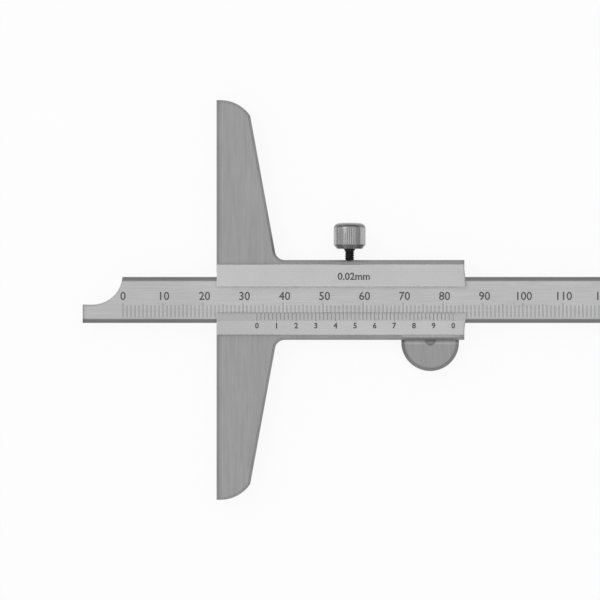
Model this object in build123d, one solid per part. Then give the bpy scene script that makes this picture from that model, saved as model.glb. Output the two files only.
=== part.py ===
from build123d import *
import math
import os

# Vernier depth gauge, 0 to 200 mm, lying on its back with the beam drawn out a little.
# X runs along the beam, away from the surface that is measured from.
# Y runs along the measuring face, Z from the plain back to the graduated front.
# The origin is the middle of the measuring face. All sizes are in millimetres.

# Base and slider, one T-shaped piece
base_length = 100.0
base_thickness = 6.0
base_width = 15.0  # where an arm leaves the slider
base_width_at_round = 8.4  # where an arm's back edge meets its rounded end
arm_end_radius = 9.0
arm_end_flat = 1.0
root_radius = 2.5
slider_length = 62.0
slider_width = 20.0
edge_break = 0.6

# Beam
beam_width = 11.5
beam_thickness = 3.5
beam_front_chamfer = (0.9, 0.45)  # along Y, along Z
beam_back_chamfer = 0.35
blade_width = 4.6  # narrow tip that enters a slot or hole
blade_flat = 2.5
blade_chamfer = 0.4
relief_radius = 7.5
reading = 33.5  # how far the beam stands out of the base here
greatest_reading = 200.0

# Guide channel in the slider
running_gap = 0.05
channel_depth = 3.6
gib_thickness = 0.9
gib_end_gap = 2.0  # from the gib's ends to the slider's ends

# Front strips over the beam's edges
strip_thickness = 1.5
upper_strip_inner = 3.3
upper_strip_outer = 8.9
vernier_strip_inner = -3.2
vernier_strip_outer = -8.75
strip_start = 0.1
strip_end_outer = 61.8
strip_end_inner = 62.4
strip_edge_break = 0.15
strip_end_chamfer = 0.3
reading_edge_height = 0.35  # thickness of the vernier strip at its bevelled edge
reading_edge_bevel = 2.2

# Screws that hold the strips, put in from the back
strip_screw_x = (6.0, 24.0, 42.0, 59.2)
upper_screw_y = 7.7
vernier_screw_y = -7.2
strip_screw_radius = 0.7
strip_screw_head = (1.3, 0.9)  # radius, height
strip_screw_clearance = 0.05
strip_screw_recess = (1.4, 1.1)
strip_screw_engagement = 1.2
screw_slot = (0.4, 0.4)  # width, depth
screw_head_break = 0.12

# Set screws that press the gib
set_screw_x = (19.5, 48.0)
set_screw_radius = 1.0
set_screw_sink = 0.3  # below the slider's edge
dog_radius = 0.6
dimple_radius = 0.65
dimple_depth = 0.4
dog_length = 0.5

# Lock screw
lock_x = 33.3
lock_z = 1.2
stem_radius = 1.2
stem_gap = 0.05
knob_radius = 4.0
knob_bottom_y = 12.8
knob_top_y = 19.3
knob_top_break = 1.0
knob_bottom_break = 1.1
knurl_teeth = 36
knurl_depth = 0.24
collar_radius = 1.8  # plain collar between the knob and the stem
collar_length = 0.5
stem_in_knob = 5.0
pad_lift = 0.15  # between pad and gib when the screw is loose
pad_radius = 0.95
pad_thickness = 0.7
spigot_radius = 0.5
spigot_length = 0.65
pad_to_stem = 0.03
bore_countersink = 0.35

# Thumb rest under the slider
thumb_x = 53.5
thumb_centre_y = -10.6
thumb_radius = 7.2
thumb_half_thickness = 2.2
thumb_rim_break = 0.7
tongue_half_width = 3.5
tongue_half_thickness = 1.2
tongue_length = 3.2
notch_radius = 1.2
notch_depth = 0.8
thumb_pin_spread = 1.8
thumb_pin_y = -8.4
thumb_pin_radius = 0.75
thumb_pin_end_z = 1.9
thumb_pin_break = 0.15

# End stop at the tail of the beam
stop_gap = 1.0  # left between slider and stop at the greatest reading
stop_length = 5.0
stop_width = 10.0
stop_thickness = 1.6
stop_break = 0.3
stop_margin = 0.5
stop_screw_spread = 2.6
stop_screw_radius = 0.8
stop_screw_head = (1.4, 0.8)
stop_screw_recess = (1.5, 0.9)
stop_screw_engagement = 2.5

# Heights and widths worked out from the sizes above
back_z = -base_thickness / 2
front_z = base_thickness / 2
channel_floor_z = front_z - channel_depth
beam_back_z = channel_floor_z + running_gap
beam_front_z = beam_back_z + beam_thickness
strip_top_z = front_z + strip_thickness
beam_half = beam_width / 2
slider_half = slider_width / 2
gib_inner_y = beam_half + running_gap
gib_outer_y = gib_inner_y + gib_thickness
channel_top_y = gib_outer_y + running_gap
channel_bottom_y = -beam_half - running_gap
beam_length = slider_length + greatest_reading + stop_gap + stop_length + stop_margin
beam_tip_x = -reading
beam_tail_x = beam_tip_x + beam_length
pad_tip_y = gib_outer_y + pad_lift
stem_tip_y = pad_tip_y + pad_thickness + pad_to_stem
overcut = 1.0  # how far a cutting shape runs past the face it opens


def block(x, y, z):
    """Box between a low and a high limit along each axis."""
    middle = [(low + high) / 2 for low, high in (x, y, z)]
    return Pos(*middle) * Box(x[1] - x[0], y[1] - y[0], z[1] - z[0])


def rod(radius, low, high):
    """Cylinder round the Z axis from one height to another."""
    standing = (Align.CENTER, Align.CENTER, Align.MIN)
    return Pos(0, 0, low) * Cylinder(radius, high - low, align=standing)


def cross_rod(radius, low, high, x, z=lock_z):
    """Cylinder parallel to Y, from one Y to another."""
    return Pos(x, 0, z) * Rot(-90, 0, 0) * rod(radius, low, high)


def prism(outline, low, high):
    """Solid with the given outline, seen along Z, between two heights."""
    return Pos(0, 0, low) * extrude(make_face(outline), high - low)


def bar(profile, start, end):
    """Solid along X whose cross-section is a list of (y, z) points."""
    section = make_face(Polyline(*[(start, y, z) for y, z in profile], close=True))
    return extrude(section, end - start, dir=(1, 0, 0))


def slotted_screw(radius, head, length, turn):
    """Cheese-head screw whose slotted end faces down at Z = 0."""
    head_radius, head_height = head
    slot_width, slot_depth = screw_slot
    top = rod(head_radius, 0, head_height)
    top = chamfer(top.edges().group_by(Axis.Z)[0], screw_head_break)
    half_slot = slot_width / 2
    reach = (-head_radius - overcut, head_radius + overcut)
    slot = block(reach, (-half_slot, half_slot), (-overcut, slot_depth))
    return top + rod(radius, head_height, length) - Rot(0, 0, turn) * slot


def frame_half_outline():
    """One arm and half of the slider, from the measuring face round to the centre line."""
    half = base_length / 2
    centre = Vector(arm_end_flat, half - arm_end_radius)
    corner_angle = math.acos((base_width_at_round - arm_end_flat) / arm_end_radius)
    corner = centre + Vector(math.cos(corner_angle), math.sin(corner_angle)) * arm_end_radius
    middle_angle = (corner_angle + math.pi / 2) / 2
    middle = centre + Vector(math.cos(middle_angle), math.sin(middle_angle)) * arm_end_radius
    tip = (arm_end_flat, half)
    straight = Polyline(
        tip, (0, half), (0, 0), (slider_length, 0), (slider_length, slider_half),
        (base_width, slider_half), corner,
    )
    return straight + ThreePointArc(corner, middle, tip)


def screw_places(y):
    """Where the screws of one front strip stand."""
    return [Pos(x, y, 0) for x in strip_screw_x]


def make_t_frame():
    """Base and slider in one, with the beam's channel and every hole."""
    half = make_face(frame_half_outline())
    plan = half + mirror(half, about=Plane.XZ)
    roots = [v for v in plan.vertices() if abs(v.X - base_width) < 0.01]
    plan = fillet(roots, root_radius)
    body = Pos(0, 0, back_z) * extrude(plan, base_thickness)
    rims = body.edges().group_by(Axis.Z)
    body = chamfer(rims[0] + rims[-1], edge_break)
    body -= block(
        (-overcut, slider_length + overcut),
        (channel_bottom_y, channel_top_y),
        (channel_floor_z, front_z + overcut),
    )
    recess_radius, recess_depth = strip_screw_recess
    for place in screw_places(upper_screw_y) + screw_places(vernier_screw_y):
        body -= place * rod(recess_radius, back_z - overcut, back_z + recess_depth)
        hole_radius = strip_screw_radius + strip_screw_clearance
        body -= place * rod(hole_radius, back_z, front_z + overcut)
    for x in set_screw_x:
        body -= cross_rod(set_screw_radius, beam_half, slider_half + overcut, x)
    bore_radius = stem_radius + stem_gap
    body -= cross_rod(bore_radius, beam_half, slider_half + overcut, lock_x)
    mouth = Cone(bore_radius, bore_radius + bore_countersink, bore_countersink)
    mouth_y = slider_half - bore_countersink / 2
    body -= Pos(lock_x, mouth_y, lock_z) * Rot(-90, 0, 0) * mouth
    body -= thumb_tongue()
    for place in thumb_pin_places():
        body -= place * rod(thumb_pin_radius, back_z - overcut, thumb_pin_end_z)
    return body


def strip_plan(inner, outer):
    """Outline of a front strip, whose far end slants out towards the beam."""
    return Polyline(
        (strip_start, inner), (strip_start, outer),
        (strip_end_outer, outer), (strip_end_inner, inner), close=True,
    )


def finish_strip(section, inner, outer, screw_y):
    """Front strip from its cross-section, with its sloped end and blind screw holes."""
    strip = bar(section, strip_start, strip_end_inner)
    strip &= prism(strip_plan(inner, outer), front_z, strip_top_z)
    top_edges = strip.edges().filter_by_position(Axis.Z, strip_top_z, strip_top_z)
    strip = chamfer(top_edges.sort_by(Axis.X)[-1], strip_end_chamfer)
    for place in screw_places(screw_y):
        strip -= place * rod(strip_screw_radius, front_z, front_z + strip_screw_engagement)
    return strip


def make_upper_guide_strip():
    """Strip over the beam's upper edge, chamfered along both front edges."""
    section = [
        (upper_strip_inner, front_z),
        (upper_strip_inner, strip_top_z - strip_edge_break),
        (upper_strip_inner + strip_edge_break, strip_top_z),
        (upper_strip_outer - strip_edge_break, strip_top_z),
        (upper_strip_outer, strip_top_z - strip_edge_break),
        (upper_strip_outer, front_z),
    ]
    return finish_strip(section, upper_strip_inner, upper_strip_outer, upper_screw_y)


def make_vernier_strip():
    """Strip over the beam's lower edge, bevelled down to the scale at its reading edge."""
    section = [
        (vernier_strip_inner, front_z),
        (vernier_strip_inner, front_z + reading_edge_height),
        (vernier_strip_inner - reading_edge_bevel, strip_top_z),
        (vernier_strip_outer + strip_edge_break, strip_top_z),
        (vernier_strip_outer, strip_top_z - strip_edge_break),
        (vernier_strip_outer, front_z),
    ]
    return finish_strip(section, vernier_strip_inner, vernier_strip_outer, vernier_screw_y)


def make_strip_screws(y):
    """Four slotted screws from the back of the slider into one strip."""
    head_bottom = back_z + strip_screw_recess[1] - strip_screw_head[1]
    length = front_z + strip_screw_engagement - head_bottom
    screws = []
    for number, place in enumerate(screw_places(y)):
        turn = 35 + 50 * number
        screw = slotted_screw(strip_screw_radius, strip_screw_head, length, turn)
        screws.append(place * Pos(0, 0, head_bottom) * screw)
    return Compound(screws)


def make_gib_strip():
    """Flat strip between the beam's upper edge and the channel wall."""
    gib = block(
        (gib_end_gap, slider_length - gib_end_gap),
        (gib_inner_y, gib_outer_y),
        (beam_back_z, beam_front_z),
    )
    for x in set_screw_x:
        gib -= cross_rod(dimple_radius, gib_outer_y - dimple_depth, gib_outer_y + overcut, x)
    return gib


def make_gib_set_screws():
    """Two headless screws in the slider's upper edge, their dogs in the gib's dimples."""
    dog_tip_y = gib_outer_y - dimple_depth
    outer_y = slider_half - set_screw_sink
    slot_width, slot_depth = screw_slot
    half_slot = slot_width / 2
    screws = []
    for x in set_screw_x:
        screw = cross_rod(set_screw_radius, dog_tip_y + dog_length, outer_y, x)
        screw += cross_rod(dog_radius, dog_tip_y, dog_tip_y + dog_length, x)
        screw -= block(
            (x - set_screw_radius - overcut, x + set_screw_radius + overcut),
            (outer_y - slot_depth, outer_y + overcut),
            (lock_z - half_slot, lock_z + half_slot),
        )
        screws.append(screw)
    return Compound(screws)


def thumb_tongue():
    """Tongue of the thumb rest, which fills a slot in the slider's lower edge."""
    return block(
        (thumb_x - tongue_half_width, thumb_x + tongue_half_width),
        (-slider_half, -slider_half + tongue_length),
        (-tongue_half_thickness, tongue_half_thickness),
    )


def thumb_pin_places():
    """Where the two pins through the tongue stand."""
    return [Pos(thumb_x + side * thumb_pin_spread, thumb_pin_y, 0) for side in (-1, 1)]


def make_thumb_rest():
    """Half disc with a chamfered rim, a small round notch at its root and a tongue."""
    disc = Pos(thumb_x, thumb_centre_y, 0) * rod(
        thumb_radius, -thumb_half_thickness, thumb_half_thickness
    )
    rims = disc.edges().group_by(Axis.Z)
    disc = chamfer(rims[0] + rims[-1], thumb_rim_break)
    reach = thumb_radius + overcut
    disc -= block(
        (thumb_x - reach, thumb_x + reach), (-slider_half, reach), (-reach, reach)
    )
    disc -= Pos(thumb_x, -slider_half, 0) * rod(
        notch_radius, thumb_half_thickness - notch_depth, thumb_half_thickness + overcut
    )
    rest = disc + thumb_tongue()
    for place in thumb_pin_places():
        rest -= place * rod(thumb_pin_radius, back_z, thumb_pin_end_z)
    return rest


def make_thumb_rest_pins():
    """Two plain pins driven in from the back through the thumb rest's tongue."""
    pins = []
    for place in thumb_pin_places():
        pin = rod(thumb_pin_radius, back_z, thumb_pin_end_z)
        pin = chamfer(pin.edges().group_by(Axis.Z)[0], thumb_pin_break)
        pins.append(place * pin)
    return Compound(pins)


def stop_screw_places():
    """Where the two screws of the end stop stand."""
    x = beam_tail_x - stop_margin - stop_length / 2
    return [Pos(x, side * stop_screw_spread, 0) for side in (-1, 1)]


def make_graduated_beam():
    """Flat bar with chamfered edges, cut down to a narrow blade at its tip."""
    side, depth = beam_front_chamfer
    section = [
        (-beam_half, beam_back_z + beam_back_chamfer),
        (-beam_half, beam_front_z - depth),
        (-beam_half + side, beam_front_z),
        (beam_half - side, beam_front_z),
        (beam_half, beam_front_z - depth),
        (beam_half, beam_back_z + beam_back_chamfer),
        (beam_half - beam_back_chamfer, beam_back_z),
        (-beam_half + beam_back_chamfer, beam_back_z),
    ]
    beam = bar(section, beam_tip_x, beam_tail_x)
    # The relief's round centre lies above the blade, so that the two meet smoothly.
    centre_x = beam_tip_x + blade_flat
    centre_y = -beam_half + blade_width + relief_radius
    beam -= Pos(centre_x, centre_y, 0) * rod(
        relief_radius, beam_back_z - overcut, beam_front_z + overcut
    )
    beam -= block(
        (beam_tip_x - overcut, centre_x),
        (-beam_half + blade_width, beam_half + overcut),
        (beam_back_z - overcut, beam_front_z + overcut),
    )
    relief_end_x = centre_x + relief_radius
    rim = beam.edges().filter_by_position(Axis.Z, beam_front_z, beam_front_z)
    rim = [edge for edge in rim if edge.bounding_box().max.X < relief_end_x]
    beam = chamfer(rim, blade_chamfer)
    for place in stop_screw_places():
        hole_bottom = beam_front_z - stop_screw_engagement
        beam -= place * rod(stop_screw_radius, hole_bottom, beam_front_z + overcut)
    return beam


def make_end_stop_plate():
    """Small plate on the beam's tail that meets the front strips."""
    end_x = beam_tail_x - stop_margin
    half = stop_width / 2
    top_z = beam_front_z + stop_thickness
    plate = block((end_x - stop_length, end_x), (-half, half), (beam_front_z, top_z))
    plate = chamfer(plate.edges().group_by(Axis.Z)[-1], stop_break)
    recess_radius, recess_depth = stop_screw_recess
    for place in stop_screw_places():
        plate -= place * rod(stop_screw_radius, beam_front_z, top_z)
        plate -= place * rod(recess_radius, top_z - recess_depth, top_z + overcut)
    return plate


def make_end_stop_screws():
    """Two slotted screws that hold the end stop on the beam."""
    head_height = stop_screw_head[1]
    head_top = beam_front_z + stop_thickness - stop_screw_recess[1] + head_height
    length = head_top - beam_front_z + stop_screw_engagement
    screws = []
    for number, place in enumerate(stop_screw_places()):
        screw = slotted_screw(stop_screw_radius, stop_screw_head, length, 20 + 75 * number)
        screws.append(place * Pos(0, 0, head_top) * Rot(180, 0, 0) * screw)
    return Compound(screws)


def make_lock_pad():
    """Pad that the lock screw pushes on the gib, with a spigot held in the screw's end."""
    back_y = pad_tip_y + pad_thickness
    pad = cross_rod(pad_radius, pad_tip_y, back_y, lock_x)
    return pad + cross_rod(spigot_radius, back_y, back_y + spigot_length, lock_x)


def make_lock_stem():
    """Screw stem from the pad up into the knob, with a socket for the pad's spigot."""
    socket_end_y = stem_tip_y + spigot_length
    stem = cross_rod(stem_radius, stem_tip_y, knob_bottom_y + stem_in_knob, lock_x)
    socket_radius = spigot_radius + stem_gap
    return stem - cross_rod(socket_radius, stem_tip_y - overcut, socket_end_y, lock_x)


def make_lock_knob():
    """Straight-knurled knob with broken edges and a short collar round the stem."""
    teeth = []
    for number in range(2 * knurl_teeth):
        angle = math.pi * number / knurl_teeth
        radius = knob_radius - knurl_depth * (number % 2)
        teeth.append((radius * math.cos(angle), radius * math.sin(angle)))
    height = knob_top_y - knob_bottom_y
    knurled = extrude(make_face(Polyline(*teeth, close=True)), height)
    turned = rod(knob_radius, 0, height)
    turned = chamfer(turned.edges().group_by(Axis.Z)[0], knob_bottom_break)
    turned = chamfer(turned.edges().group_by(Axis.Z)[-1], knob_top_break)
    knob = (knurled & turned) + rod(collar_radius, -collar_length, 0)
    knob -= rod(stem_radius, -collar_length - overcut, stem_in_knob)
    return Pos(lock_x, knob_bottom_y, lock_z) * Rot(-90, 0, 0) * knob


nodes = {
    "t_frame": make_t_frame,
    "upper_guide_strip": make_upper_guide_strip,
    "vernier_strip": make_vernier_strip,
    "upper_strip_screws": lambda: make_strip_screws(upper_screw_y),
    "vernier_strip_screws": lambda: make_strip_screws(vernier_screw_y),
    "gib_strip": make_gib_strip,
    "gib_set_screws": make_gib_set_screws,
    "thumb_rest": make_thumb_rest,
    "thumb_rest_pins": make_thumb_rest_pins,
    "graduated_beam": make_graduated_beam,
    "end_stop_plate": make_end_stop_plate,
    "end_stop_screws": make_end_stop_screws,
    "lock_pad": make_lock_pad,
    "lock_stem": make_lock_stem,
    "lock_knob": make_lock_knob,
}

os.makedirs("parts", exist_ok=True)
for name, make in nodes.items():
    export_step(make(), f"parts/{name}.step")
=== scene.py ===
"""Looks of a vernier depth gauge: its finishes, graduations, knurled lock knob and threaded lock screw.

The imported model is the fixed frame. X runs along the beam, Y along the measuring face and Z out of the
graduated front. Sizes here are in millimetres, and MM turns them into metres where something is made.
"""

import math

import bmesh
import bpy
from mathutils import Matrix, Vector


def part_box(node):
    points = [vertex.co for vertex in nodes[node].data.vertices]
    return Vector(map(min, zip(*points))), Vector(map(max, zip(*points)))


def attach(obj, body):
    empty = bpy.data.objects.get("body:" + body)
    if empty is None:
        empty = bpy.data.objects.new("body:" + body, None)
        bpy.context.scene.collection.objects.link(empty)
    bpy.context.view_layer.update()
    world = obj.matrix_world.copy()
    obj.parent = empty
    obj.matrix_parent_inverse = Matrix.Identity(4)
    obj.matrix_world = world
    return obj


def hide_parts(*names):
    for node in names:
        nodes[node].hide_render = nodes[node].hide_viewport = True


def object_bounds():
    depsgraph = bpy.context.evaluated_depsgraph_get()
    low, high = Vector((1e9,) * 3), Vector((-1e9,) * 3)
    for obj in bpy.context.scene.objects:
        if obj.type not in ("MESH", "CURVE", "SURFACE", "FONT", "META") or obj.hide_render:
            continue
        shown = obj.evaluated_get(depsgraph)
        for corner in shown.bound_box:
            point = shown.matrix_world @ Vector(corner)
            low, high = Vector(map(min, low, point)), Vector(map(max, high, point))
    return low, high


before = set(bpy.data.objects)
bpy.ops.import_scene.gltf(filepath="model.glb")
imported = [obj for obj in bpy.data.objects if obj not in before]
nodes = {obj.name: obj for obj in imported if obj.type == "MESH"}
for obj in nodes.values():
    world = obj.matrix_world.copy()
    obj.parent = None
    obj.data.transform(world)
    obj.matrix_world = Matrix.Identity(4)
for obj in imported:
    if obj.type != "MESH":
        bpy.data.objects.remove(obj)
cad_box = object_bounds()
MM = 0.001


def node_box(name):
    """Lowest and highest corner of a node, in millimetres."""
    low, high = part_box(name)
    return low / MM, high / MM


def lock_axis():
    """Where the lock screw's axis crosses the plane Y = 0, in millimetres."""
    low, high = node_box("lock_stem")
    return Vector(((low.x + high.x) / 2, 0.0, (low.z + high.z) / 2))


# ---------------------------------------------------------------- sizes that the frame doesn't give

BEAM_BEVEL = 0.9  # along each long edge of the beam's front
READING_EDGE_HEIGHT = 0.35  # of the vernier strip at its bevelled edge
READING_BEVEL = 2.2  # width of that bevel
SLIDER_HALF = 10.0  # from the middle of the beam to the slider's long edges
EDGE_BREAK = 0.6  # chamfer along the base's and the slider's edges
NOTCH_RADIUS = 1.2  # of the half-round notch at the thumb rest's root

# The zeros of both scales stand the same length behind the tip and the measuring face, so that they meet
# when the tip is flush with the face.
ZERO_SETBACK = 10.12
MAIN_LINE_WIDTH, VERNIER_LINE_WIDTH = 0.12, 0.10
LINE_ROUNDING = 0.35  # of a line's corners, as a share of its width
FILL_DEPTH = 0.06
FILL_PROUD = 0.012
MAIN_DIVISIONS, MAIN_PITCH = 250, 1.0
MAIN_NUMBER_STEP = 10  # divisions from one number to the next
MAIN_LINE_FOOT = -4.4
MAIN_LINE_TOP = {10: -0.75, 5: -1.05, 1: -1.35}  # by which multiple of the pitch a line marks
VERNIER_DIVISIONS, VERNIER_PITCH = 50, 0.98
VERNIER_NUMBER_STEP = 5
VERNIER_LINE_FOOT = -3.3
VERNIER_LINE_TOP = {5: -5.25, 1: -4.95}
NUMBER_SHIFT = 0.4  # how far right of its line a number of two or three digits stands
NUMBER_HEIGHT, NUMBER_Y, NUMBER_WEIGHT = 2.1, 1.0, 0.012
VERNIER_NUMBER_HEIGHT, VERNIER_NUMBER_Y, VERNIER_NUMBER_WEIGHT = 1.45, -6.4, 0.032
LEAST_COUNT, LEAST_COUNT_PLACE = "0.02mm", (34.3, 5.9)
LEAST_COUNT_HEIGHT, LEAST_COUNT_WEIGHT = 1.87, 0.022
LETTER_RELIEF = 0.2  # before the letters are flattened; so deep that their rims end level with their tops
SAME_LENGTH = 0.0001  # two lengths that differ by less are taken as the same

KNURLS = 54
STEPS_PER_KNURL = 6
KNURL_DEPTH = 0.10
KNURL_HEIGHTS = (1.0, 1.0, 1.0, 1.0, 1.0, 0.0)  # across one knurl, from its flat crest to its groove
KNOB_TOP_ROUND = 1.5
KNOB_BOTTOM_CHAMFER = (0.85, 1.05)  # across, along the axis
KNOB_FACE_DISH = (2.0, 0.15)  # radius, depth
KNURLED_BAND = 0.35  # how far in from the knob's outline its side reaches
KNOB_SLACK = 0.01  # for telling which area of the knob a face belongs to
KNOB_WELD = 0.004  # the knob's vertices closer than this are merged
SHARP_FROM = 25.0  # degrees between two of its faces that meet in a sharp edge
COLLAR_LENGTH, COLLAR_FOOT_RADIUS = 0.5, 1.25
THREAD_PITCH, THREAD_DEPTH = 0.45, 0.24
THREAD_OUTLINE = ((0.0, 0.0), (0.12, 0.0), (0.48, 1.0), (0.62, 1.0), (1.0, 0.0))  # shares of pitch and depth
STEPS_PER_TURN = 32
STEM_WELD = 0.001
SOCKET_RADIUS = 0.55  # of the blind hole in the stem's foot, where the pad's spigot turns
SPIGOT_GAP = 0.03  # between the spigot's end and the bottom of that hole


# ---------------------------------------------------------------- shading


class Shading:
    """A node tree, with short ways to add, set and join its nodes."""

    def __init__(self, tree):
        self.tree = tree

    def add(self, kind, inputs=None, **settings):
        """New node with its settings, and its sockets set to a value or joined to another node's output."""
        node = self.tree.nodes.new(kind)
        for name, value in settings.items():
            setattr(node, name, value)
        for name, value in (inputs or {}).items():
            self.put(value, node.inputs[name])
        return node

    def put(self, value, socket):
        """Sets a socket, or joins another node's output to it."""
        if isinstance(value, bpy.types.NodeSocket):
            self.tree.links.new(value, socket)
        else:
            socket.default_value = value

    def math(self, operation, a, b=0.0):
        return self.add("ShaderNodeMath", {0: a, 1: b}, operation=operation).outputs[0]

    def between(self, value, low, high, start=0.0, end=1.0, kind="SMOOTHSTEP"):
        """value between low and high becomes start to end."""
        ends = {"Value": value, "From Min": low, "From Max": high, "To Min": start, "To Max": end}
        return self.add("ShaderNodeMapRange", ends, interpolation_type=kind).outputs["Result"]

    def grey_ramp(self, value, stops):
        """Smooth ramp of greys through (position, brightness) stops."""
        node = self.add("ShaderNodeValToRGB", {"Fac": value})
        node.color_ramp.interpolation = "EASE"
        elements = node.color_ramp.elements
        while len(elements) < len(stops):
            elements.new(0.5)
        for element, (position, brightness) in zip(elements, stops):
            element.position = position
            element.color = (brightness, brightness, brightness, 1.0)
        return node.outputs["Color"]


# ---------------------------------------------------------------- camera, floor and light

# The photograph looks straight down on the front face.
PICTURE_PIXELS = 600
PIXELS_PER_MM = 4.0
ORIGIN_PIXEL = (216.5, 299.95)  # where the middle of the measuring face is
LENS, SENSOR = 200.0, 36.0
NEAREST_SEEN, FARTHEST_SEEN = 10.0, 20000.0
FRONT_HEIGHT = 3.0  # the plane that the scale above holds for


def add_camera():
    """Long lens straight above the front, framed as the photograph is."""
    camera = bpy.data.objects.new("camera", bpy.data.cameras.new("camera"))
    camera.data.lens = LENS
    camera.data.sensor_width = SENSOR
    camera.data.clip_start = NEAREST_SEEN * MM
    camera.data.clip_end = FARTHEST_SEEN * MM
    picture_width = PICTURE_PIXELS / PIXELS_PER_MM
    middle = PICTURE_PIXELS / 2
    camera.location = (
        (middle - ORIGIN_PIXEL[0]) / PIXELS_PER_MM * MM,
        (ORIGIN_PIXEL[1] - middle) / PIXELS_PER_MM * MM,
        (FRONT_HEIGHT + picture_width * LENS / SENSOR) * MM,
    )
    bpy.context.scene.collection.objects.link(camera)
    bpy.context.scene.camera = camera


FLOOR_SIZE = 8000.0
FLOOR_GAP = 0.02  # keeps the gauge's back clear of the table top
FLOOR_COLOUR = (0.95, 0.95, 0.95, 1.0)
BACKGROUND_SHARE = 0.90  # how much of the floor is plain white to the camera; the rest keeps the shadow


def add_floor():
    """Pale table top, white to the camera and in the metal, with a faint shadow. It is clear from below."""
    shape = bmesh.new()
    bmesh.ops.create_grid(shape, x_segments=1, y_segments=1, size=FLOOR_SIZE / 2 * MM)
    bmesh.ops.translate(shape, verts=shape.verts, vec=(0, 0, cad_box[0][2] - FLOOR_GAP * MM))
    mesh = bpy.data.meshes.new("table_top")
    shape.to_mesh(mesh)
    shape.free()
    floor = bpy.data.objects.new("table_top", mesh)
    bpy.context.scene.collection.objects.link(floor)

    material = bpy.data.materials.new("pale_table")
    material.use_nodes = True
    material.node_tree.nodes.clear()
    table = Shading(material.node_tree)
    matt = table.add("ShaderNodeBsdfDiffuse", {"Color": FLOOR_COLOUR}).outputs[0]
    white = table.add("ShaderNodeEmission", {"Color": (1.0, 1.0, 1.0, 1.0), "Strength": 1.0}).outputs[0]
    path = table.add("ShaderNodeLightPath").outputs
    seen = table.math("MAXIMUM", path["Is Camera Ray"], path["Is Glossy Ray"])
    seen = table.math("MAXIMUM", seen, path["Is Transmission Ray"])
    share = table.math("MULTIPLY", seen, BACKGROUND_SHARE)
    top = table.add("ShaderNodeMixShader", {"Fac": share, 1: matt, 2: white}).outputs[0]
    clear = table.add("ShaderNodeBsdfTransparent").outputs[0]
    below = table.add("ShaderNodeNewGeometry").outputs["Backfacing"]
    both = table.add("ShaderNodeMixShader", {"Fac": below, 1: top, 2: clear}).outputs[0]
    table.add("ShaderNodeOutputMaterial", {"Surface": both})
    mesh.materials.append(material)


# Brightness of the room by the height of a direction, on its left and on its right. It is white at the
# horizon and straight above, and the dark gap between gives the metal its dark edges.
LEFT_WALL = ((0.09, 1.0), (0.16, 0.60), (0.42, 0.62), (0.72, 1.0))
RIGHT_WALL = ((0.09, 1.0), (0.16, 0.28), (0.46, 0.40), (0.88, 1.0))
WALLS_MEET = (-0.5, 0.5)  # from which direction's X to which the left wall turns into the right


def add_room_light():
    """A room of soft greys round the gauge, which lights it and is mirrored in its metal."""
    world = bpy.data.worlds.new("studio")
    world.use_nodes = True
    world.node_tree.nodes.clear()
    room = Shading(world.node_tree)
    direction = room.add("ShaderNodeTexCoord").outputs["Generated"]
    axes = room.add("ShaderNodeSeparateXYZ", {0: direction}).outputs
    left = room.grey_ramp(axes["Z"], LEFT_WALL)
    right = room.grey_ramp(axes["Z"], RIGHT_WALL)
    side = room.between(axes["X"], *WALLS_MEET)
    walls = room.add("ShaderNodeMix", data_type="RGBA")
    for name, value in {"Factor": side, "A": left, "B": right}.items():
        room.put(value, walls.inputs[name])
    sky = room.add("ShaderNodeBackground", {"Color": walls.outputs["Result"], "Strength": 1.0})
    room.add("ShaderNodeOutputWorld", {"Surface": sky.outputs[0]})
    bpy.context.scene.world = world


SOFTBOX_PLACE = (-700.0, 500.0, 900.0)
SOFTBOX_SIZE = 600.0
SOFTBOX_POWER = 1.6


def add_softbox():
    """A large lamp up and to the left, for a little direction in the light."""
    lamp = bpy.data.lights.new("softbox", "AREA")
    lamp.size = SOFTBOX_SIZE * MM
    lamp.energy = SOFTBOX_POWER
    softbox = bpy.data.objects.new("softbox", lamp)
    place = Vector(SOFTBOX_PLACE) * MM
    softbox.matrix_world = Matrix.Translation(place) @ place.to_track_quat("Z", "Y").to_matrix().to_4x4()
    bpy.context.scene.collection.objects.link(softbox)


bpy.context.scene.view_settings.view_transform = "Standard"
add_camera()
add_floor()
add_room_light()
add_softbox()


# ---------------------------------------------------------------- finishes

NOISE_SPREAD = (0.3, 0.7)  # between which most of a noise's values lie
EDGE_SAMPLES = 6
EDGE_TURN = (0.99, 0.80)  # how nearly a face agrees with its rounded normal, off an edge and on it
WEAR_AND_LIGHT_PATCH = 0.9  # how long a patch of the edge tone is (worn metal on some finishes, painted edge shade and highlight on others)
WEAR_AND_LIGHT_SPREAD = (0.35, 0.65)  # of the noise, from the least edge tone to the full
LEAST_WEAR_AND_LIGHT = 0.5  # between the patches, as a share of the full edge tone
WEAR_GLOSS = 0.10  # how much smoother a worn edge is


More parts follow.
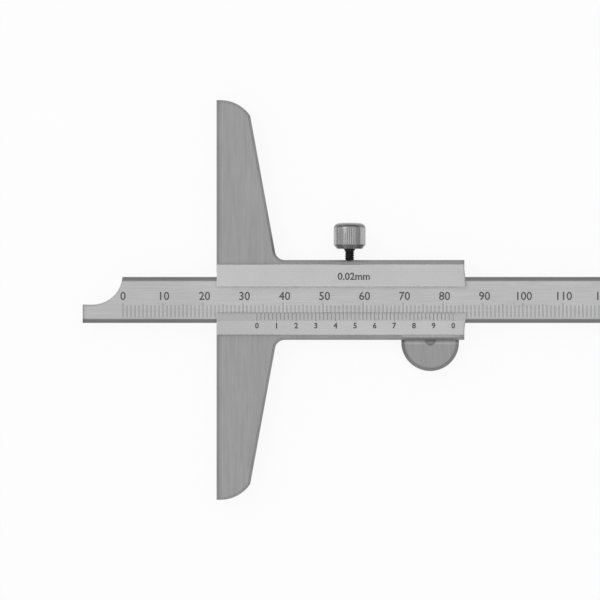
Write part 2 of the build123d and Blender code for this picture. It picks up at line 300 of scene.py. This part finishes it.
class Finish(Shading):
    """A metal finish, with what each step adds in its own method."""

    def __init__(self, name, colour, roughness, metallic=1.0):
        self.material = bpy.data.materials.new(name)
        self.material.use_nodes = True
        super().__init__(self.material.node_tree)
        self.shader = self.tree.nodes["Principled BSDF"]
        self.shader.inputs["Metallic"].default_value = metallic
        self.place = self.add("ShaderNodeTexCoord").outputs["Object"]
        self.axes = self.add("ShaderNodeSeparateXYZ", {0: self.place}).outputs
        self.colour = colour
        self.tones = []  # factors that lighten or darken the colour
        self.rough = roughness
        self.normal = None

    def noise(self, cell, detail=2.0):
        """Noise whose grains are cell millimetres long along X, Y and Z."""
        scale = [1.0 / (length * MM) for length in cell]
        mapping = self.add("ShaderNodeMapping", {"Vector": self.place, "Scale": scale})
        inputs = {"Vector": mapping.outputs[0], "Scale": 1.0, "Detail": detail}
        return self.add("ShaderNodeTexNoise", inputs).outputs["Fac"]

    def vary(self, pattern, tone, gloss):
        """Tone and gloss that follow a noise pattern."""
        if tone:
            self.tones.append(self.between(pattern, *NOISE_SPREAD, 1.0 - tone, 1.0 + tone, "LINEAR"))
        if gloss:
            change = self.between(pattern, *NOISE_SPREAD, gloss, -gloss, "LINEAR")
            self.rough = self.math("ADD", change, self.rough)

    def mottle(self, cell, tone, gloss=0.0):
        """Cloudy variation of tone and gloss."""
        self.vary(self.noise(cell), tone, gloss)

    def grain(self, cell, depth, tone=0.0, gloss=0.0):
        """Fine tool marks or blasting, depth millimetres deep."""
        marks = self.noise(cell, detail=3.0)
        self.vary(marks, tone, gloss)
        bump = self.add("ShaderNodeBump", {"Height": marks, "Distance": depth * MM})
        if self.normal:
            self.put(self.normal, bump.inputs["Normal"])
        self.normal = bump.outputs["Normal"]

    def soft_edges(self, radius, wear_and_painted_edge_light=0.0, reach=0.25):
        """Edges rounded by radius in shading. Within reach of them, a tone is added in patches: worn metal on
        the screws, pins, gib and pad, painted edge shade on the ground steel and the beam, and a painted
        highlight on the strips.
        """
        rounded = self.add("ShaderNodeBevel", {"Radius": radius * MM}, samples=EDGE_SAMPLES)
        self.normal = rounded.outputs["Normal"]
        face = self.add("ShaderNodeNewGeometry").outputs["Normal"]
        wide = self.add("ShaderNodeBevel", {"Radius": reach * MM}, samples=EDGE_SAMPLES).outputs["Normal"]
        agree = self.add("ShaderNodeVectorMath", {0: wide, 1: face}, operation="DOT_PRODUCT").outputs["Value"]
        clouds = self.noise((WEAR_AND_LIGHT_PATCH, WEAR_AND_LIGHT_PATCH, WEAR_AND_LIGHT_PATCH))
        patches = self.between(clouds, *WEAR_AND_LIGHT_SPREAD, LEAST_WEAR_AND_LIGHT, 1.0)
        edge = self.math("MULTIPLY", self.between(agree, *EDGE_TURN), patches)
        # the edge tone: worn metal on some finishes, painted edge shade and painted highlights on others
        self.tones.append(self.math("ADD", self.math("MULTIPLY", edge, wear_and_painted_edge_light), 1.0))
        self.rough = self.math("ADD", self.math("MULTIPLY", edge, -WEAR_GLOSS), self.rough)

    def band(self, value, limits, soft):
        """1 where value lies between the limits, fading to 0 over soft outside of them."""
        low, high = limits
        rise = self.between(value, (low - soft) * MM, low * MM)
        fall = self.between(value, high * MM, (high + soft) * MM, 1.0, 0.0)
        return self.math("MULTIPLY", rise, fall)

    def meet(self, bands):
        """1 where all of the bands are 1."""
        inside = bands[0]
        for other in bands[1:]:
            inside = self.math("MULTIPLY", inside, other)
        return inside

    def shade(self, factor, *bands):
        """Tone times factor where all of the bands meet."""
        self.tones.append(self.between(self.meet(bands), 0.0, 1.0, 1.0, factor, "LINEAR"))

    def dull(self, amount, *bands):
        """Roughness plus amount where all of the bands meet."""
        self.rough = self.math("ADD", self.math("MULTIPLY", self.meet(bands), amount), self.rough)

    def across(self, limits, soft):
        """Band between two limits along Y."""
        return self.band(self.axes["Y"], limits, soft)

    def along(self, limits, soft):
        """Band between two limits along X."""
        return self.band(self.axes["X"], limits, soft)

    def distance(self, centre, keep):
        """Distance from an axis through centre, measured in the two directions whose keep is 1."""
        offset = [-c * k * MM for c, k in zip(centre, keep)]
        mapping = self.add("ShaderNodeMapping", {"Vector": self.place, "Location": offset, "Scale": keep})
        return self.add("ShaderNodeVectorMath", {0: mapping.outputs[0]}, operation="LENGTH").outputs["Value"]

    def done(self):
        """Joins colour, roughness and normal to the shader, and gives the material."""
        tone = self.tones[0]
        for factor in self.tones[1:]:
            tone = self.math("MULTIPLY", tone, factor)
        coloured = self.add("ShaderNodeMix", data_type="RGBA", blend_type="MULTIPLY")
        for name, value in {"Factor": 1.0, "A": (*self.colour, 1.0), "B": tone}.items():
            self.put(value, coloured.inputs[name])
        self.put(coloured.outputs["Result"], self.shader.inputs["Base Color"])
        self.put(self.rough, self.shader.inputs["Roughness"])
        if self.normal:
            self.put(self.normal, self.shader.inputs["Normal"])
        return self.material


def grey(level):
    return (level, level, level)


def ground_steel(name, level=0.332, wear_and_painted_edge_light=-0.22):
    """Surface-ground steel, darker than the plated parts, with its grinding marks along the base."""
    finish = Finish(name, grey(level), 0.38)
    finish.mottle((6.0, 9.0, 6.0), 0.02, 0.03)
    finish.mottle((0.35, 9.0, 0.35), 0.05, 0.04)
    # the negative edge tone is painted shade along the edges and chamfers
    finish.soft_edges(0.12, wear_and_painted_edge_light, reach=0.7)
    finish.grain((0.07, 5.0, 0.07), 0.004, tone=0.03, gloss=0.05)
    return finish


def frame_steel():
    """Base and slider: dull under the lock knob, with a painted highlight there, painted shade along the
    measuring face and in the seam of the thumb rest, and a paler line between that seam and the vernier
    strip."""
    rest_low, rest_high = node_box("thumb_rest")
    knob_low, knob_high = node_box("lock_knob")
    finish = ground_steel("frame_steel")
    upper_chamfer = finish.across((SLIDER_HALF - EDGE_BREAK, SLIDER_HALF - 0.02), 0.1)
    under_knob = finish.along((knob_low.x + 1.0, knob_high.x - 1.0), 4.5)
    # painted highlight: lightens the chamfer where the knob's dark reflection and shadow fall
    finish.dull(0.35, upper_chamfer, under_knob)
    finish.shade(1.45, upper_chamfer, under_knob)
    over_rest = finish.along((rest_low.x + 0.3, rest_high.x - 0.3), 0.5)
    # painted shade in the seam between the slider and the thumb rest
    shaded_seam = finish.across((-SLIDER_HALF - 1.0, -SLIDER_HALF + 0.1), 0.5)
    finish.shade(0.86, shaded_seam, over_rest)
    beside_strip = finish.across((-SLIDER_HALF + 0.9, -SLIDER_HALF + 2.0), 0.25)
    finish.shade(1.35, beside_strip, over_rest)
    # painted shade along the edge of the measuring face
    shaded_measuring_edge = finish.along((-1.0, 0.8), 0.5)
    finish.shade(0.88, shaded_measuring_edge)
    return finish.done()


def thumb_rest_steel():
    """The same steel, a little darker, with painted shade on its rim, in the notch and in the seam, and a
    painted highlight on the line below the seam."""
    low, high = node_box("thumb_rest")
    middle, radius = (low.x + high.x) / 2, (high.x - low.x) / 2
    seen_from_front = (1.0, 1.0, 0.0)
    # its edges get a lighter painted edge shade than the frame's
    finish = ground_steel("thumb_rest_steel", level=0.316, wear_and_painted_edge_light=-0.08)
    shaded_seam = finish.across((-SLIDER_HALF - 0.2, high.y), 0.5)
    # painted shade in the seam below the slider
    finish.shade(0.70, shaded_seam)
    # painted shade in the notch
    from_notch = finish.distance((middle, -SLIDER_HALF, 0.0), seen_from_front)
    finish.shade(0.68, finish.band(from_notch, (0.0, NOTCH_RADIUS), 0.6))
    # painted highlight on the plate's top edge
    painted_highlight_line = finish.across((-SLIDER_HALF - 1.0, -SLIDER_HALF - 0.75), 0.2)
    finish.shade(1.22, painted_highlight_line)
    # painted shade on the rim's chamfer
    from_centre = finish.distance((middle, low.y + radius, 0.0), seen_from_front)
    finish.shade(0.78, finish.band(from_centre, (radius - 0.8, radius + 1.0), 0.3))
    return finish.done()


def satin_chrome():
    """Front strips: fine-blasted and plated, the vernier's darker towards the measuring face. Painted
    highlights lighten their edges, the reading bevel and the upper strip's inner chamfer, and painted shade
    darkens the reading edge.
    """
    low, high = node_box("vernier_strip")
    guide_edge = node_box("upper_guide_strip")[0].y
    finish = Finish("satin_chrome", grey(0.560), 0.50)
    finish.mottle((8.0, 5.0, 8.0), 0.012, 0.02)
    finish.mottle((0.5, 0.5, 0.5), 0.025)
    # the positive edge tone is a painted highlight on the strips' edges
    finish.soft_edges(0.15, wear_and_painted_edge_light=0.45, reach=0.40)
    finish.grain((0.09, 0.09, 0.09), 0.006, tone=0.02, gloss=0.04)
    # painted highlight on the reading bevel
    highlighted_reading_bevel = finish.across((high.y - READING_BEVEL, high.y), 0.1)
    finish.shade(1.14, highlighted_reading_bevel)
    # painted highlight on the upper strip's inner chamfer
    highlighted_guide_corner = finish.across((guide_edge - 0.1, guide_edge + 0.12), 0.1)
    finish.shade(1.35, highlighted_guide_corner)
    # painted shade along the reading edge, where the strip's shadow falls on the beam
    shaded_reading_edge = finish.across((high.y - 0.12, high.y), 0.12)
    finish.shade(0.80, shaded_reading_edge)
    vernier = finish.across((low.y - 1.0, high.y + 1.0), 0.1)
    towards_face = finish.along((-5.0, 2.0), 40.0)
    finish.shade(0.90, vernier, towards_face)
    return finish.done()


def beam_steel():
    """Beam: satin front, with painted shade on its bevelled long edges. Its tip is a little darker too, most
    of all at its end, also as painted shade."""
    low, high = node_box("graduated_beam")
    finish = Finish("beam_steel", grey(0.510), 0.42)
    finish.mottle((7.0, 4.0, 7.0), 0.015, 0.02)
    finish.mottle((12.0, 0.3, 0.3), 0.04, 0.03)
    # the negative edge tone is painted edge shade
    finish.soft_edges(0.07, wear_and_painted_edge_light=-0.10, reach=0.15)
    finish.grain((3.0, 0.07, 0.07), 0.004, tone=0.03, gloss=0.05)
    # painted shade on the bevelled long edges
    for bevel in ((low.y, low.y + BEAM_BEVEL), (high.y - BEAM_BEVEL, high.y)):
        finish.shade(0.52, finish.across(bevel, 0.3))
    # painted shade on the tip and, more, at its end
    tip = finish.along((low.x, low.x + 20.0), 12.0)
    finish.shade(0.94, tip)
    tip_end = finish.along((low.x - 1.0, low.x + 0.3), 0.7)
    finish.shade(0.82, tip_end)
    return finish.done()


def knurled_steel():
    """Lock knob's side, with painted shade darkening the grooves between the knurls."""
    low, high = node_box("lock_knob")
    finish = Finish("knurled_steel", grey(0.44), 0.20)
    finish.mottle((1.2, 2.0, 1.2), 0.05, 0.05)
    finish.grain((0.08, 0.5, 0.08), 0.003, tone=0.03, gloss=0.04)
    seen_from_end = (1.0, 0.0, 1.0)
    from_axis = finish.distance((low + high) / 2, seen_from_end)
    crest = (high.x - low.x) / 2
    # painted shade in the grooves, darkest at the knurls' roots
    finish.tones.append(finish.between(from_axis, (crest - KNURL_DEPTH) * MM, crest * MM, 0.45, 1.0))
    return finish.done()


def turned_steel():
    """The knob's rounded top and its underside, finely turned."""
    finish = Finish("turned_steel", grey(0.38), 0.14)
    finish.mottle((1.0, 1.0, 1.0), 0.04, 0.03)
    finish.grain((2.0, 0.04, 2.0), 0.002, tone=0.03, gloss=0.03)
    return finish.done()


def dull_steel():
    """The knob's lower chamfer, its colour darkened as painted shade."""
    # painted shade: the dark grey stands in for the shadowed gap that the chamfer mirrors
    finish = Finish("dull_steel", grey(0.24), 0.18)
    finish.mottle((1.0, 1.0, 1.0), 0.08, 0.04)
    finish.grain((2.0, 0.05, 2.0), 0.002, tone=0.05, gloss=0.03)
    return finish.done()


def bright_steel():
    """Screws and pins, turned and left bright."""
    finish = Finish("bright_steel", grey(0.56), 0.30)
    finish.mottle((1.0, 1.0, 1.0), 0.03, 0.04)
    finish.soft_edges(0.05, wear_and_painted_edge_light=0.08, reach=0.10)
    finish.grain((0.06, 0.06, 0.06), 0.003, tone=0.02, gloss=0.04)
    return finish.done()


def black_steel():
    """Blackened screws, with the oxide rubbed a little thin on the edges."""
    finish = Finish("black_steel", grey(0.010), 0.34, metallic=0.0)
    finish.shader.inputs["Specular IOR Level"].default_value = 0.35
    finish.mottle((0.8, 0.8, 0.8), 0.20, 0.05)
    finish.soft_edges(0.04, wear_and_painted_edge_light=1.5, reach=0.08)
    finish.grain((0.05, 0.05, 0.05), 0.003, tone=0.10, gloss=0.05)
    return finish.done()


def bronze():
    """Gib and clamping pad."""
    finish = Finish("bronze", (0.58, 0.36, 0.17), 0.36)
    finish.mottle((2.0, 1.0, 1.0), 0.06, 0.06)
    finish.soft_edges(0.05, wear_and_painted_edge_light=0.10, reach=0.10)
    finish.grain((2.0, 0.06, 0.06), 0.004, tone=0.04, gloss=0.05)
    return finish.done()


def scale_black():
    """Black filling of the engraved lines and numbers, rubbed a little grey."""
    finish = Finish("scale_black", grey(0.085), 0.62, metallic=0.0)
    finish.mottle((0.25, 0.25, 0.25), 0.30, 0.08)
    finish.grain((0.05, 0.05, 0.05), 0.004)
    return finish.done()


chrome = satin_chrome()
beam_finish = beam_steel()
bright = bright_steel()
black = black_steel()
knurled = knurled_steel()
turned = turned_steel()
# the knob's lower chamfer, dark as painted shade
shaded_chamfer = dull_steel()
warm_bronze = bronze()
filling = scale_black()

NODE_FINISH = {
    "t_frame": frame_steel(),
    "thumb_rest": thumb_rest_steel(),
    "upper_guide_strip": chrome,
    "vernier_strip": chrome,
    "graduated_beam": beam_finish,
    "end_stop_plate": beam_finish,
    "upper_strip_screws": bright,
    "vernier_strip_screws": bright,
    "thumb_rest_pins": bright,
    "end_stop_screws": bright,
    "gib_strip": warm_bronze,
    "lock_pad": warm_bronze,
    "gib_set_screws": black,
    "lock_stem": black,
    "lock_knob": knurled,
}
for name, finish in NODE_FINISH.items():
    nodes[name].data.materials.clear()
    nodes[name].data.materials.append(finish)


# ---------------------------------------------------------------- graduations


def add_piece(name, shape, finishes, body):
    """Turns the bmesh into a piece that rides on a body, and frees it. Its place is in its mesh."""
    mesh = bpy.data.meshes.new(name)
    shape.to_mesh(mesh)
    shape.free()
    for finish in finishes:
        mesh.materials.append(finish)
    piece = bpy.data.objects.new(name, mesh)
    bpy.context.scene.collection.objects.link(piece)
    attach(piece, body)
    return piece


def edges_at(verts):
    """The edges that meet at these vertices, each once, and in the same order every time."""
    return list(dict.fromkeys(edge for vert in verts for edge in vert.link_edges))


def add_filled_line(shape, foot, top, width):
    """One filled line from foot to top: a thin bar with rounded corners, let into the face and just
    proud of it."""
    foot, top = Vector(foot), Vector(top)
    along = top - foot
    tilt = along.to_track_quat("Y", "Z").to_matrix().to_4x4()
    depth = FILL_DEPTH + FILL_PROUD
    size = Matrix.Diagonal((width, along.length, depth, 1.0))
    sink = Matrix.Translation((0.0, 0.0, (FILL_PROUD - FILL_DEPTH) / 2))
    place = Matrix.Scale(MM, 4) @ Matrix.Translation((foot + top) / 2) @ tilt @ sink @ size
    bar = bmesh.ops.create_cube(shape, size=1.0, matrix=place)["verts"]
    upright = [e for e in edges_at(bar) if abs(e.calc_length() / MM - depth) < SAME_LENGTH]
    bmesh.ops.bevel(shape, geom=upright, offset=LINE_ROUNDING * width * MM, offset_type="OFFSET",
                    affect="EDGES", segments=2, profile=0.5, material=-1)


def line_top(tops, number):
    """Where a line ends, by the largest step that its number is a multiple of."""
    return next(top for step, top in tops.items() if number % step == 0)


def words_mesh(words, height, weight):
    """Flat letters made a mesh, height tall and centred on the origin, with their tops at Z = 0. A rim
    round each letter, weight times the type's size wide, makes them bolder."""
    curve = bpy.data.curves.new("letters", "FONT")
    curve.body = words
    curve.extrude = LETTER_RELIEF
    curve.bevel_depth = weight
    curve.bevel_resolution = 0
    curve.resolution_u = 3
    letters = bpy.data.objects.new("letters", curve)
    bpy.context.scene.collection.objects.link(letters)
    bpy.context.view_layer.update()
    evaluated = letters.evaluated_get(bpy.context.evaluated_depsgraph_get())
    mesh = bpy.data.meshes.new_from_object(evaluated)
    bpy.data.objects.remove(letters)
    bpy.data.curves.remove(curve)
    xs, ys, zs = zip(*(v.co for v in mesh.vertices))
    middle = Vector(((min(xs) + max(xs)) / 2, (min(ys) + max(ys)) / 2, max(zs)))
    size = height / (max(ys) - min(ys))
    thickness = (FILL_DEPTH + FILL_PROUD) / (max(zs) - min(zs))
    mesh.transform(Matrix.Diagonal((size, size, thickness, 1.0)) @ Matrix.Translation(-middle))
    return mesh


def add_numbers(name, labels, height, weight, front, body):
    """Numbers let into a face: labels are (words, x, y) of each one's centre, front is the face's height."""
    shape = bmesh.new()
    for words, x, y in labels:
        mesh = words_mesh(words, height, weight)
        mesh.transform(Matrix.Scale(MM, 4) @ Matrix.Translation((x, y, front + FILL_PROUD)))
        shape.from_mesh(mesh)
        bpy.data.meshes.remove(mesh)
    add_piece(name, shape, [filling], body)


def add_beam_scale():
    """Main scale on the beam's front, with a number at every tenth line."""
    low, high = node_box("graduated_beam")
    zero = low.x + ZERO_SETBACK
    shape = bmesh.new()
    for number in range(MAIN_DIVISIONS + 1):
        x = zero + number * MAIN_PITCH
        top = line_top(MAIN_LINE_TOP, number)
        add_filled_line(shape, (x, MAIN_LINE_FOOT, high.z), (x, top, high.z), MAIN_LINE_WIDTH)
    add_piece("beam_scale_lines", shape, [filling], "beam")
    labels = [(str(n), zero + n * MAIN_PITCH + (NUMBER_SHIFT if n else 0.0), NUMBER_Y)
              for n in range(0, MAIN_DIVISIONS + 1, MAIN_NUMBER_STEP)]
    add_numbers("beam_scale_numbers", labels, NUMBER_HEIGHT, NUMBER_WEIGHT, high.z, "beam")


def add_vernier_scale():
    """Vernier on the strip's bevel, with its numbers on the flat beside it."""
    low, high = node_box("vernier_strip")
    reading_edge_z = low.z + READING_EDGE_HEIGHT
    rise = (high.z - reading_edge_z) / READING_BEVEL

    def on_bevel(x, y):
        """Point on the bevelled face above (x, y)."""
        return (x, y, reading_edge_z + (high.y - y) * rise)

    shape = bmesh.new()
    for number in range(VERNIER_DIVISIONS + 1):
        x = ZERO_SETBACK + number * VERNIER_PITCH
        top = line_top(VERNIER_LINE_TOP, number)
        add_filled_line(shape, on_bevel(x, VERNIER_LINE_FOOT), on_bevel(x, top), VERNIER_LINE_WIDTH)
    add_piece("vernier_lines", shape, [filling], "base")
    labels = [(str(n // VERNIER_NUMBER_STEP % 10), ZERO_SETBACK + n * VERNIER_PITCH, VERNIER_NUMBER_Y)
              for n in range(0, VERNIER_DIVISIONS + 1, VERNIER_NUMBER_STEP)]
    add_numbers("vernier_numbers", labels, VERNIER_NUMBER_HEIGHT, VERNIER_NUMBER_WEIGHT, high.z, "base")


def add_least_count():
    """What one step of the vernier is worth, on the upper strip."""
    front = node_box("upper_guide_strip")[1].z
    label = (LEAST_COUNT, *LEAST_COUNT_PLACE)
    add_numbers("least_count", [label], LEAST_COUNT_HEIGHT, LEAST_COUNT_WEIGHT, front, "base")


add_beam_scale()
add_vernier_scale()
add_least_count()


# ---------------------------------------------------------------- lock screw


def start_profile(shape, points):
    """A line of vertices above the lock axis, from (radius, y) points in millimetres."""
    centre = lock_axis()
    dots = [shape.verts.new((centre + Vector((0.0, y, radius))) * MM) for radius, y in points]
    lines = [shape.edges.new(pair) for pair in zip(dots, dots[1:])]
    return dots + lines


def arc(centre_radius, centre_y, radius, start, end, steps):
    """Points of a part of a circle in the profile plane; angles in degrees from outwards."""
    angles = [math.radians(start + (end - start) * i / steps) for i in range(steps + 1)]
    return [(centre_radius + radius * math.cos(a), centre_y + radius * math.sin(a)) for a in angles]


def knob_profile(low, high):
    """From the stem's end of the collar round the knob to the middle of its dished face."""
    radius = (high.x - low.x) / 2
    bottom = low.y + COLLAR_LENGTH
    across, along = KNOB_BOTTOM_CHAMFER
    dish_radius, dish_depth = KNOB_FACE_DISH
    flare = arc(COLLAR_FOOT_RADIUS + COLLAR_LENGTH, low.y, COLLAR_LENGTH, 180, 90, 5)
    top = arc(radius - KNOB_TOP_ROUND, high.y - KNOB_TOP_ROUND, KNOB_TOP_ROUND, 0, 90, 8)
    chamfer = [(radius - across, bottom), (radius, bottom + along)]
    dish_floor = high.y - dish_depth
    dish = [(dish_radius + dish_depth, high.y), (dish_radius, dish_floor), (0.0, dish_floor)]
    return [(0.0, low.y), *flare, *chamfer, *top, *dish]


def cut_knurls(shape, radius):
    """Draws in every vertex that stands proud of the knurls' outline."""
    centre = lock_axis() * MM
    for vert in shape.verts:
        arm = vert.co - centre
        arm.y = 0.0
        step = round(math.atan2(arm.x, arm.z) / math.tau * KNURLS * STEPS_PER_KNURL) % STEPS_PER_KNURL
        limit = (radius - KNURL_DEPTH * (1.0 - KNURL_HEIGHTS[step])) * MM
        if arm.length > limit:
            vert.co -= arm * (1.0 - limit / arm.length)


SIDE, TOP, CHAMFER, COLLAR = range(4)  # areas of the knob, in the order of their finishes
KNOB_FINISHES = [knurled, turned, shaded_chamfer, black]


def knob_area(place, radius, underside):
    """Which area of the knob a place is in, measured from where its axis crosses the plane Y = 0."""
    if place.y < underside - KNOB_SLACK:
        return COLLAR
    if underside + KNOB_SLACK < place.y < underside + KNOB_BOTTOM_CHAMFER[1]:
        return CHAMFER
    return SIDE if math.hypot(place.x, place.z) > radius - KNURLED_BAND else TOP


def add_lock_knob():
    """Knurled head: a turned blank with a flared collar, whose side is cut by straight knurls."""
    low, high = node_box("lock_knob")
    radius = (high.x - low.x) / 2
    shape = bmesh.new()
    bmesh.ops.spin(shape, geom=start_profile(shape, knob_profile(low, high)), cent=lock_axis() * MM,
                   axis=(0, 1, 0), dvec=(0, 0, 0), angle=math.tau, steps=KNURLS * STEPS_PER_KNURL,
                   use_merge=True, use_duplicate=False)
    bmesh.ops.remove_doubles(shape, verts=shape.verts, dist=KNOB_WELD * MM)
    cut_knurls(shape, radius)
    bmesh.ops.recalc_face_normals(shape, faces=shape.faces)
    centre = lock_axis()
    for face in shape.faces:
        place = face.calc_center_median() / MM - centre
        face.material_index = knob_area(place, radius, low.y + COLLAR_LENGTH)
        face.smooth = True
    for edge in shape.edges:
        edge.smooth = edge.calc_face_angle(0.0) < math.radians(SHARP_FROM)
    knob = add_piece("lock_knob_knurled", shape, KNOB_FINISHES, "lock_screw")
    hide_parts("lock_knob")


def close_round_socket(shape, rim, foot):
    """Closes the stem's foot, with a blind socket in it for the pad's spigot."""
    spigot_end = node_box("lock_pad")[1].y
    place = Matrix.Translation((lock_axis() + Vector((0.0, foot, 0.0))) * MM)
    circle = bmesh.ops.create_circle(shape, segments=STEPS_PER_TURN, radius=SOCKET_RADIUS * MM,
                                     matrix=place @ Matrix.Rotation(math.pi / 2, 4, "X"))["verts"]
    mouth = edges_at(circle)
    bmesh.ops.bridge_loops(shape, edges=rim + mouth)
    wall = bmesh.ops.extrude_edge_only(shape, edges=mouth)["geom"]
    end = [v for v in wall if isinstance(v, bmesh.types.BMVert)]
    bmesh.ops.translate(shape, verts=end, vec=(0, (spigot_end + SPIGOT_GAP - foot) * MM, 0))
    bmesh.ops.edgeloop_fill(shape, edges=[e for e in shape.edges if e.is_boundary])


def add_lock_stem():
    """Threaded stem: one turn's profile spun up the axis, cut off square, with a socket in its foot."""
    low, high = node_box("lock_stem")
    root = (high.x - low.x) / 2 - THREAD_DEPTH
    start = low.y - THREAD_PITCH
    turns = math.ceil((high.y - low.y) / THREAD_PITCH) + 2
    profile = [(root + rise * THREAD_DEPTH, start + along * THREAD_PITCH) for along, rise in THREAD_OUTLINE]
    shape = bmesh.new()
    bmesh.ops.spin(shape, geom=start_profile(shape, profile), cent=lock_axis() * MM, axis=(0, 1, 0),
                   dvec=(0, THREAD_PITCH / STEPS_PER_TURN * MM, 0), angle=math.tau * turns,
                   steps=STEPS_PER_TURN * turns, use_merge=False, use_duplicate=False)
    bmesh.ops.remove_doubles(shape, verts=shape.verts, dist=STEM_WELD * MM)
    for height, outside in ((low.y, -1), (high.y, 1)):
        bmesh.ops.bisect_plane(shape, geom=shape.verts[:] + shape.edges[:] + shape.faces[:],
                               plane_co=(0, height * MM, 0), plane_no=(0, outside, 0), clear_outer=True)
    bmesh.ops.remove_doubles(shape, verts=shape.verts, dist=STEM_WELD * MM)
    halfway = (low.y + high.y) / 2 * MM
    rims = [e for e in shape.edges if e.is_boundary]
    bmesh.ops.edgeloop_fill(shape, edges=[e for e in rims if e.verts[0].co.y > halfway])
    close_round_socket(shape, [e for e in rims if e.verts[0].co.y < halfway], low.y)
    bmesh.ops.recalc_face_normals(shape, faces=shape.faces)
    stem = add_piece("lock_stem_threaded", shape, [black], "lock_screw")
    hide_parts("lock_stem")


add_lock_knob()
add_lock_stem()
